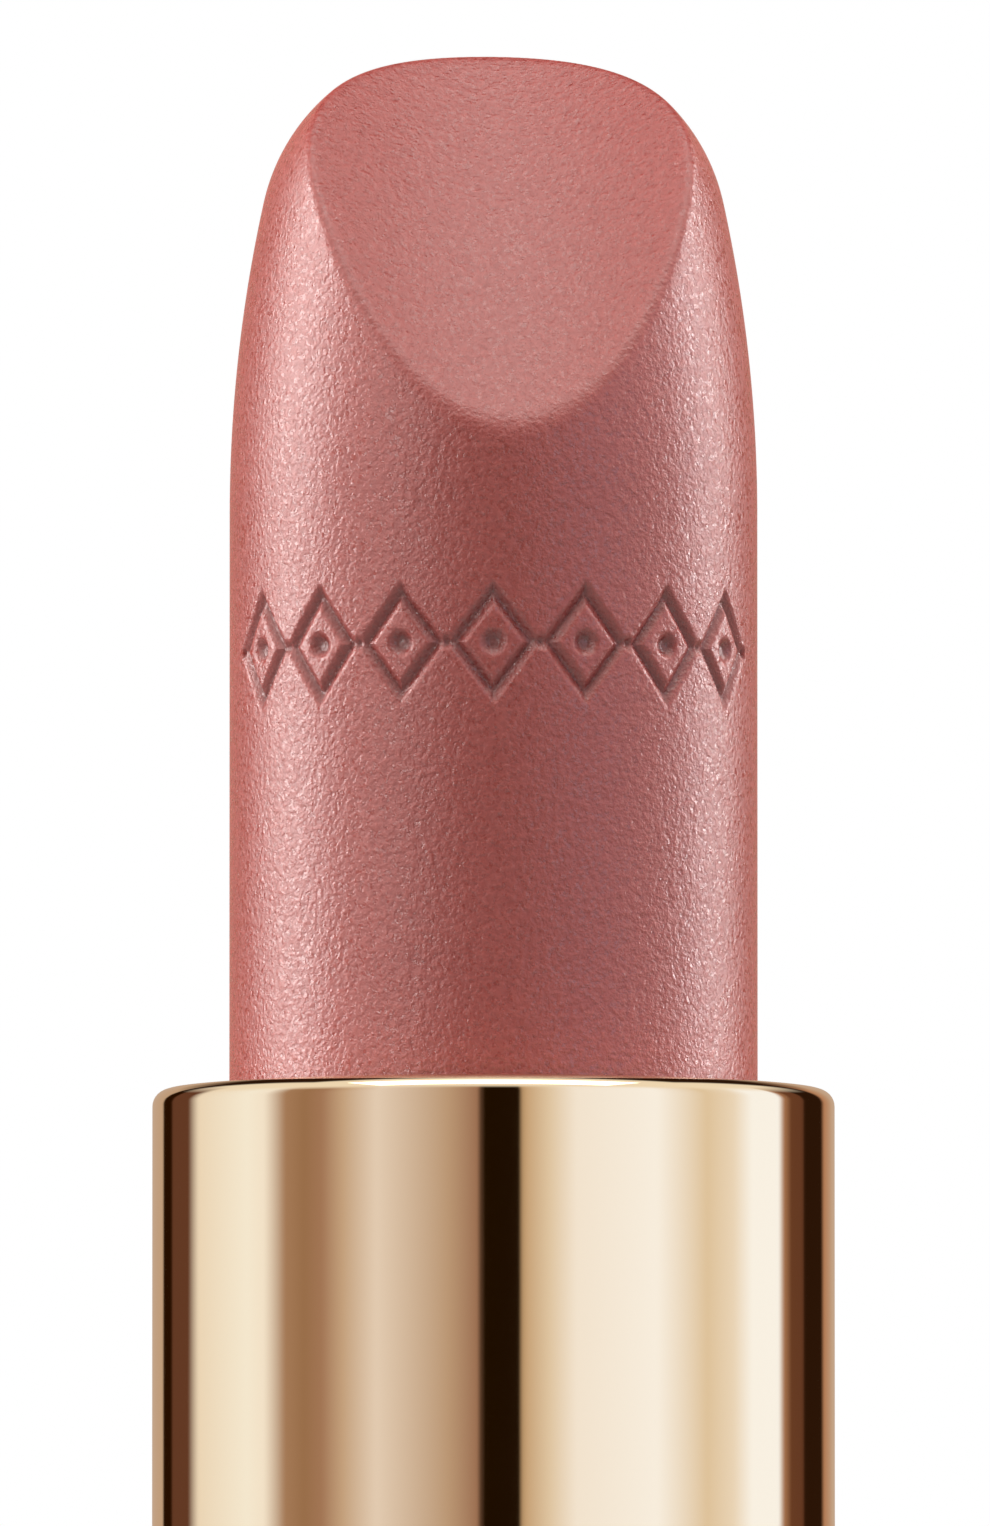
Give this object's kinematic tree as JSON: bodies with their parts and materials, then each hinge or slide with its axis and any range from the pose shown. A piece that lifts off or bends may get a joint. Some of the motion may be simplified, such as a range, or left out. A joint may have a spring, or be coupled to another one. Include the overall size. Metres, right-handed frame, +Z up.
{
  "type": "lipstick case",
  "caption": "Twist-up lipstick case with a raised slant-faced lipstick, a polished tube in a weighted round base, and its lift-off cap standing beside it.",
  "frame": {"origin": "centre of the base's underside, on the axis that the tube turns about and the lipstick rises along", "axes": "+Z up along the case towards the lipstick's tip, -Y towards the side that the lipstick's slanted face looks to"},
  "size_m": [0.0475, 0.0284, 0.0791],
  "materials": {
    "lipstick_wax": null,
    "inner_plastic": "ivory acetal, moulded",
    "champagne_gold": "polished, anodised champagne gold",
    "gold_trim": "polished, anodised champagne gold",
    "black_lacquer": "high-gloss black lacquer on drawn aluminium",
    "steel_weight": "zinc-plated steel slug",
    "silicone": "translucent silicone",
    "label_paper": "matt coated paper",
    "cap_plastic": "black polypropylene, moulded"
  },
  "bodies": {
    "base": {"base_shell": "black_lacquer", "base_liner": "inner_plastic", "base_weight": "steel_weight", "shade_label": "label_paper", "neck_collar": "gold_trim", "guide_fork": "inner_plastic", "brake_ring": "silicone"},
    "tube": {"tube_shell": "champagne_gold", "spiral_sleeve": "inner_plastic"},
    "bullet": {"lipstick_bullet": "lipstick_wax", "bullet_cup": "champagne_gold"},
    "cap": {"cap_shell": "black_lacquer", "cap_liner": "cap_plastic", "cap_weight": "steel_weight", "cap_top_plate": "gold_trim", "cap_rim_ring": "gold_trim"}
  },
  "joints": [
    {"name": "twist", "type": "hinge", "parent": "base", "child": "tube", "pos_m": [0, 0, 0], "axis": [0, 0, 1], "range_deg": [0, 540]},
    {"name": "rise", "type": "slide", "parent": "base", "child": "bullet", "axis": [0, 0, 1], "range_m": [-0.026, 0]},
    {"name": "cap_lift", "type": "slide", "parent": "base", "child": "cap", "axis": [0, 0, 1], "range_m": [0, 0.04]}
  ],
  "couplings": [
    {"joint": "twist", "follows": "rise", "rad_per_m": -362.49}
  ]
}
